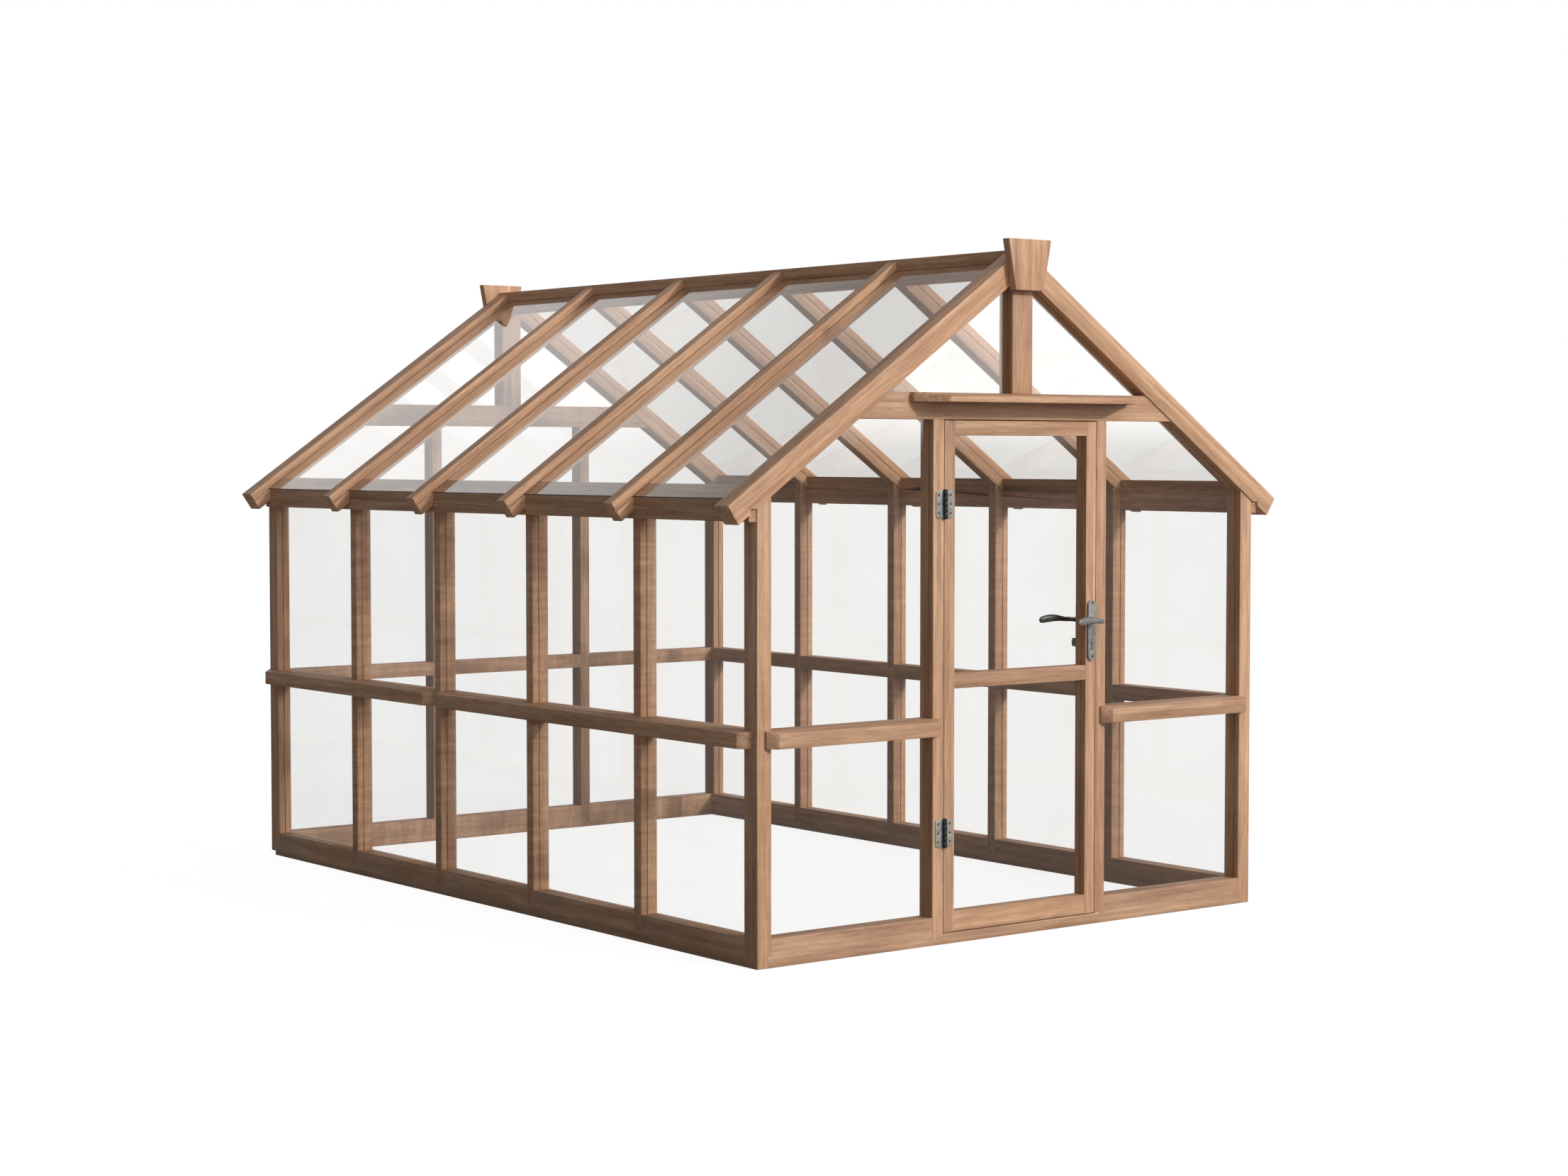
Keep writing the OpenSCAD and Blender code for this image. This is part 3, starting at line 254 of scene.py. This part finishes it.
# Metal: a cast skin with slow clouds of a dimmer tone
metalLook = {
    "pewter": {"base": (0.29, 0.285, 0.26), "dim": (0.20, 0.195, 0.18), "metal": 0.2, "rough": 0.4},
    "steel": {"base": (0.46, 0.45, 0.43), "dim": (0.33, 0.32, 0.305), "metal": 1.0, "rough": 0.34},
    "iron": {"base": (0.030, 0.028, 0.026), "dim": (0.018, 0.017, 0.016), "metal": 0.3, "rough": 0.38},
}
skinLook = {
    "castScale": 900.0, "castNoise": (2.0, 0.6), "cloudScale": 60.0, "cloudNoise": (3.0, 0.6),
    "cloudEdge": (0.3, 0.7), "cloudRough": 0.2, "bumpStrength": 0.2, "bumpDepth": 0.0002,
}


def metal(name, kind, toneAndShade):
    look, skin = metalLook[kind], skinLook
    s = newMaterial(name)
    spot = s.place()
    fine, slow = ([part * skin[scale] for part in spot] for scale in ("castScale", "cloudScale"))
    cast = s.noise(s.vector(*fine), *skin["castNoise"])
    cloud = s.noise(s.vector(*slow), *skin["cloudNoise"])
    base = s.blend(cloud.step(*skin["cloudEdge"]), look["base"], look["dim"])
    # the piece's tone, which on the door's inner pieces is painted shade
    base = s.blend(1.0, base, (toneAndShade, toneAndShade, toneAndShade), "MULTIPLY")
    rough = look["rough"] + cloud.swing() * skin["cloudRough"]
    bump = s.bump(cast, skin["bumpStrength"], skin["bumpDepth"])
    return s.finish("ShaderNodeBsdfPrincipled", {
        "Base Color": base, "Roughness": rough, "Metallic": look["metal"], "Normal": bump})


def pick(piece):
    bpy.ops.object.select_all(action="DESELECT")
    piece.select_set(True)
    bpy.context.view_layer.objects.active = piece


def apply(piece, kind, **settings):
    pick(piece)
    modifier = piece.modifiers.new(kind.lower(), kind)
    for name, value in settings.items():
        setattr(modifier, name, value)
    bpy.ops.object.modifier_apply(modifier=modifier.name)


# A copy of a CAD node, left in edit mode with its doubles merged and all of it selected
weld = 0.00001


def copied(node, name):
    piece = bpy.data.objects.new(name, frame["nodes"][node].data.copy())
    bpy.context.scene.collection.objects.link(piece)
    pick(piece)
    bpy.ops.object.mode_set(mode="EDIT")
    bpy.ops.mesh.select_all(action="SELECT")
    bpy.ops.mesh.remove_doubles(threshold=weld)
    return piece


# The copy, smooth up to an angle, stands for its node and moves with the node's body
def stoodIn(piece, node, angle):
    pick(piece)
    bpy.ops.object.shade_smooth_by_angle(angle=math.radians(angle))
    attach(piece, bodyOf[node])
    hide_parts(node)
    return piece


# The widths by which arrises are eased, less where the bolts go into the latch post
easing = {"timber": 0.0014, "metal": 0.0005, "latch_post": 0.0007}
bevelSet = {"segments": 2, "limit_method": "ANGLE", "angle_limit": math.radians(30),
            "use_clamp_overlap": True, "miter_outer": "MITER_ARC"}
flatAngle = math.radians(1)
easedSmooth = 32
# Where a long slot or recess ends, as an axis and its places: a seam keeps the face there sound
slotEnds = {"latch_post": (2, (1.058, 1.180)), "ridge": (1, (-1.654, 1.738)),
            "plate_left": (1, (-1.654, 1.738)), "plate_right": (1, (-1.654, 1.738))}


def eased(node, name, width):
    piece = copied(node, name)
    axis, ends = slotEnds.get(node, (0, ()))
    for end in ends:
        place, normal = [0, 0, 0], [0, 0, 0]
        place[axis], normal[axis] = end, 1
        bpy.ops.mesh.select_all(action="SELECT")
        bpy.ops.mesh.bisect(plane_co=place, plane_no=normal)
        bpy.ops.mesh.mark_seam()
    bpy.ops.mesh.select_all(action="SELECT")
    bpy.ops.mesh.dissolve_limited(angle_limit=flatAngle, delimit={"SEAM"})
    bpy.ops.object.mode_set(mode="OBJECT")
    apply(piece, "BEVEL", width=width, **bevelSet)
    return stoodIn(piece, node, easedSmooth)


# Timber pieces: the grain's way, the tone and the saw marks of each; the left wall's sill, plate and
# mid rails are toned darker than the right wall's as painted shade of that side
timberPieces = {
    "sill_front": ("x", 0.82, 0), "sill_back": ("x", 1.02, 0.8),
    "sill_left": ("y", 0.85, 0), "sill_right": ("y", 0.95, 0),
    "corner_post_front_left": ("z", 1.0, 0.2), "corner_post_front_right": ("z", 1.02, 0),
    "corner_post_back_left": ("z", 0.96, 0), "corner_post_back_right": ("z", 0.98, 0),
    "side_posts_left": ("z", 1.0, 0.8), "side_posts_right": ("z", 0.97, 0.55),
    "hinge_post": ("z", 0.99, 0), "latch_post": ("z", 0.97, 0), "back_studs": ("z", 0.95, 0.3),
    "plate_left": ("y", 0.85, 0), "plate_right": ("y", 0.94, 0),
    "gable_rafters_front": ("both", 1.04, 0), "gable_rafters_back": ("both", 0.97, 0),
    "rafters_left": ("left", 1.04, 0.1), "rafters_right": ("right", 1.04, 0.1),
    "ridge": ("y", 1.2, 0), "keystone_front": ("z", 1.1, 0), "keystone_back": ("z", 1.02, 0),
    "king_post_front": ("z", 0.87, 0), "king_post_back": ("z", 0.97, 0),
    "tie_front": ("x", 0.93, 0), "tie_back": ("x", 0.78, 0.6), "canopy": ("x", 1.04, 0),
    "mid_rails_front": ("x", 0.91, 0), "mid_rail_back": ("x", 1.02, 0.6),
    "mid_rails_left": ("y", 0.92, 0), "mid_rails_right": ("y", 0.95, 0),
    "door_stops": ("z", 0.97, 0),
    "door_hinge_stile": ("z", 0.94, 0), "door_latch_stile": ("z", 1.06, 0),
    "door_top_rail": ("x", 1.01, 0), "door_mid_rail": ("x", 0.85, 0),
    "door_bottom_rail": ("x", 1.0, 0),
}
pairSeed = 50
for seed, (node, (way, toneAndShade, ripple)) in enumerate(timberPieces.items()):
    piece = eased(node, "timber_" + node, easing.get(node, easing["timber"]))
    if way == "both":  # one rafter each side of the ridge
        paint(piece, timber(node + "_right", "right", seed, toneAndShade, ripple))
        piece.data.materials.append(timber(node + "_left", "left", seed + pairSeed, toneAndShade, ripple))
        for face in piece.data.polygons:
            face.material_index = 1 if face.center.x < 0 else 0
    else:
        paint(piece, timber(node, way, seed, toneAndShade, ripple))
print("timber done:", len(timberPieces), "pieces")

panes = ("glass_left", "glass_right", "glass_front", "glass_back",
         "roof_glass_left", "roof_glass_right", "door_glass")
for node in panes:
    paint(frame["nodes"][node], paneGlass(node))
print("panes done:", len(panes), "nodes")

# The levers' facets are joined to quads and smoothed into one skin
castSet = {"face": math.radians(20), "shape": math.radians(60), "smooth": 50}


def smoothed(node, name):
    piece = copied(node, name)
    bpy.ops.mesh.tris_convert_to_quads(face_threshold=castSet["face"], shape_threshold=castSet["shape"])
    bpy.ops.object.mode_set(mode="OBJECT")
    return stoodIn(piece, node, castSet["smooth"])


# Metal pieces: the finish and tone of each; the inner backplate, inner lever and thumb turn are toned
# darker than the outer ones as painted shade of the door's inner side
metalPieces = {
    "hinge_frame_leaves": ("pewter", 1.15), "hinge_door_leaves": ("pewter", 1.15),
    "backplate_outer": ("pewter", 1.0), "backplate_inner": ("pewter", 0.6),
    "lever_outer": ("pewter", 0.85), "lever_inner": ("pewter", 0.30),
    "thumb_turn": ("pewter", 0.33), "hinge_pins": ("iron", 1.0),
    "frame_screws": ("iron", 1.6), "door_screws": ("iron", 1.6),
    "spindle": ("steel", 1.0), "lock_case": ("steel", 1.0), "latch_bolt": ("steel", 1.0),
    "dead_bolt": ("steel", 1.0), "lock_cylinder": ("steel", 0.5), "strike_plate": ("steel", 1.0),
}
hingeLeaves = ("hinge_frame_leaves", "hinge_door_leaves")
bevelled = hingeLeaves + ("backplate_outer", "backplate_inner", "thumb_turn")
levers = ("lever_outer", "lever_inner")
knuckleShadeReach = 0.0092
pinLow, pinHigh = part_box("hinge_pins")
pinX, pinY = (pinLow[0] + pinHigh[0]) / 2, (pinLow[1] + pinHigh[1]) / 2
for node, (kind, toneAndShade) in metalPieces.items():
    if node in bevelled:
        piece = eased(node, "metal_" + node, easing["metal"])
    elif node in levers:
        piece = smoothed(node, "metal_" + node)
    else:
        piece = frame["nodes"][node]
    paint(piece, metal(node, kind, toneAndShade))
    if node in hingeLeaves:  # painted shade: the knuckles get a near-black iron paint that stands for the shadow on them
        piece.data.materials.append(metal(node + "_knuckles", "iron", 1.0))
        for face in piece.data.polygons:
            if math.hypot(face.center.x - pinX, face.center.y - pinY) < knuckleShadeReach:
                face.material_index = 1
print("metal done:", len(metalPieces), "pieces")

# Camera
scene = bpy.context.scene
cameraSet = {"place": (-6.9383, -9.3243, 1.7492), "tilt": 87.277, "turn": -37.579,
             "lens": 65.07, "sensor": 36, "reach": 400}
camera = bpy.data.objects.new("camera", bpy.data.cameras.new("camera"))
scene.collection.objects.link(camera)
camera.data.lens = cameraSet["lens"]
camera.data.sensor_width = cameraSet["sensor"]
camera.data.clip_end = cameraSet["reach"]
camera.location = cameraSet["place"]
camera.rotation_euler = (math.radians(cameraSet["tilt"]), 0, math.radians(cameraSet["turn"]))
scene.camera = camera

# Two suns from one side, one sharp and one soft: name, strength and spread
lampSet = {
    "from": (47, -124, 53), "place": (3, -8, 4), "colour": (1.0, 0.985, 0.95),
    "lamps": (("keyLight", 1.0, 1.6), ("softKey", 0.75, 14)),
}
for name, strength, spread in lampSet["lamps"]:
    lamp = bpy.data.objects.new(name, bpy.data.lights.new(name, "SUN"))
    scene.collection.objects.link(lamp)
    lamp.data.energy = strength
    lamp.data.angle = math.radians(spread)
    lamp.data.color = lampSet["colour"]
    lamp.rotation_euler = (-Vector(lampSet["from"])).to_track_quat("-Z", "Y").to_euler()
    lamp.location = lampSet["place"]
print("camera and lamps done")


def seenRays(s):  # camera, mirror and glass rays
    glossy, glass = s.path("Is Glossy Ray"), s.path("Is Transmission Ray")
    return s.path("Is Camera Ray").math("MAXIMUM", glossy).math("MAXIMUM", glass)


# The world: a soft fill for diffuse rays, white for seen ones, and a room for mirrored ones
white = (1, 1, 1)
fillSet = {
    "from": (0.45, -0.87, 0.2), "fade": (-0.3, 1.0),
    "back": (0.015, 0.016, 0.018), "front": (1.12, 1.14, 1.17),
    "rearFrom": (0.62, 0.78, 0.05), "rearFade": (0.4, 1.0), "rear": (0.95, 0.96, 0.98),
}
studioSet = {
    "backdropX": (-0.95, -0.05), "backdropY": (0.0, 0.4), "backdrop": 0.84,
    "ceiling": (0.5, 0.58), "ceilingDrop": 0.6,
    "windowLow": (-0.002, 0.018), "windowHigh": (0.1, 0.16), "windowY": (-0.3, 0.0),
    "window": 3.6, "room": 0.16,
}


# The room has a pale backdrop behind, a dark ceiling and, in front, a long low window
def studio(s, x, y, z):
    look = studioSet
    far = x.step(*look["backdropX"]) * y.step(*look["backdropY"])
    window = z.step(*look["windowLow"]) * (1 - z.step(*look["windowHigh"]))
    window = window * (1 - y.step(*look["windowY"]))
    backdrop = look["backdrop"] - z.step(*look["ceiling"]) * look["ceilingDrop"]
    level = far * backdrop + window * look["window"] + look["room"]
    return s.mirrored() * (level - 1) + 1


def facing(s, view, direction):
    settings = {"operation": "DOT_PRODUCT"}
    return s.add("ShaderNodeVectorMath", settings, {0: view, 1: direction}, "Value")


world = bpy.data.worlds.new("studio")
world.cycles.sampling_method = "NONE"
scene.world = world
s = Sheet(world)
view = s.add("ShaderNodeTexCoord", None, None, 0)
lean = facing(s, view, fillSet["from"]).step(*fillSet["fade"])
rear = facing(s, view, fillSet["rearFrom"]).step(*fillSet["rearFade"])
fill = s.blend(rear, s.blend(lean, fillSet["back"], fillSet["front"]), fillSet["rear"])
seen = seenRays(s)
level = seen * (studio(s, *s.parts(view)) - 1) + 1
s.finish("ShaderNodeBackground", {0: s.blend(seen, fill, white), 1: level})

# The floor: matt for diffuse rays, and for seen rays near white, with a veil that takes the shadow
floorSet = {"size": 160, "top": -0.0015, "matt": (0.30, 0.295, 0.29), "veil": (0.12, 0.12, 0.12),
            "glow": 0.945, "mirroredGlow": 0.22}
bpy.ops.object.select_all(action="DESELECT")
bpy.ops.mesh.primitive_plane_add(size=floorSet["size"], location=(0, 0, floorSet["top"]))
floor = bpy.context.object
floor.name = "floor"
s = newMaterial("floor")
matt = s.add("ShaderNodeBsdfDiffuse", None, {0: (*floorSet["matt"], 1)})
veil = s.add("ShaderNodeBsdfDiffuse", None, {0: (*floorSet["veil"], 1)})
strength = s.mirrored() * (floorSet["mirroredGlow"] - floorSet["glow"]) + floorSet["glow"]
glow = s.add("ShaderNodeEmission", None, {0: (*white, 1), 1: strength})
bright = s.add("ShaderNodeAddShader", None, {0: veil, 1: glow})
paint(floor, s.finish("ShaderNodeMixShader", {0: seenRays(s), 1: matt, 2: bright}))

scene.view_settings.view_transform = "Standard"
print("scene done")
